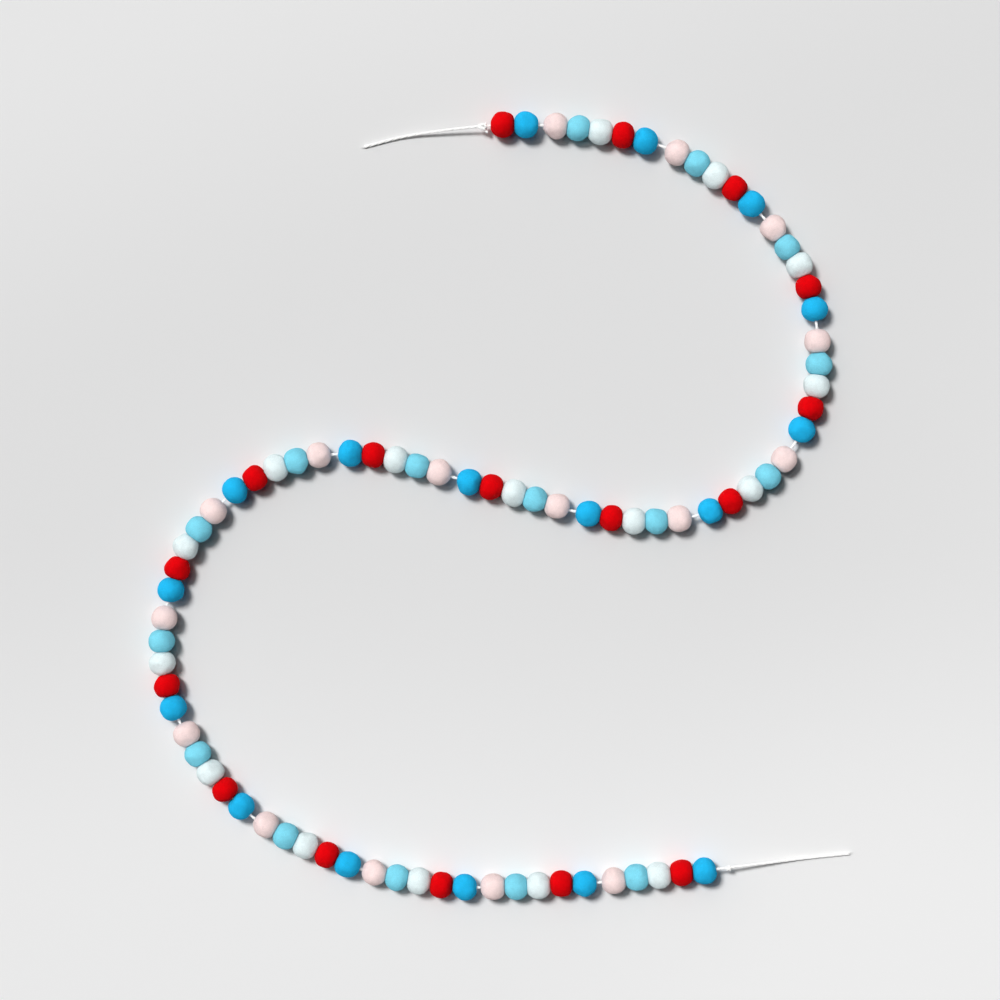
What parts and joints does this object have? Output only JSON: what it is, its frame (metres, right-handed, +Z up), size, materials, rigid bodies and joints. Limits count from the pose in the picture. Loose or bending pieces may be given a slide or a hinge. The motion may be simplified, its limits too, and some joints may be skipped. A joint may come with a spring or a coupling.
{
  "type": "felt ball pom-pom garland",
  "caption": "Garland of round felt balls in short multicoloured runs on a white string, lying in a loose S curve with both string ends free for tying.",
  "frame": {"origin": "on the surface that the garland lies on, under the middle of the box around all the balls", "axes": "+Z up from the surface, +Y along the longer side of the laid-out S curve, towards the end with the short run, and +X towards the side where the other free string end lies"},
  "size_m": [0.5621, 0.6314, 0.0196],
  "materials": {
    "felt_mixed": "matte wool felt, the mean of the balls' five colours, for a solid that joins balls of several colours",
    "felt_pink": "matte wool felt, very pale pink",
    "felt_aqua": "matte wool felt, light aqua",
    "felt_white": "matte wool felt, cool white",
    "felt_red": "matte wool felt, bright red",
    "felt_blue": "matte wool felt, bright sky blue",
    "string_white": "matte twisted cotton, white"
  },
  "bodies": {
    "root": {"ball_run_00": "felt_mixed", "ball_run_01": "felt_mixed", "ball_run_02": "felt_mixed", "ball_run_03": "felt_mixed", "ball_run_04": "felt_mixed", "ball_run_05": "felt_mixed", "ball_run_06": "felt_mixed", "ball_run_07": "felt_mixed", "ball_run_08": "felt_mixed", "ball_run_09": "felt_mixed", "ball_run_10": "felt_mixed", "ball_run_11": "felt_mixed", "ball_run_12": "felt_mixed", "ball_run_13": "felt_mixed", "ball_run_14": "felt_mixed", "ball_run_15": "felt_mixed", "ball_run_16": "felt_mixed", "string": "string_white"}
  },
  "joints": []
}
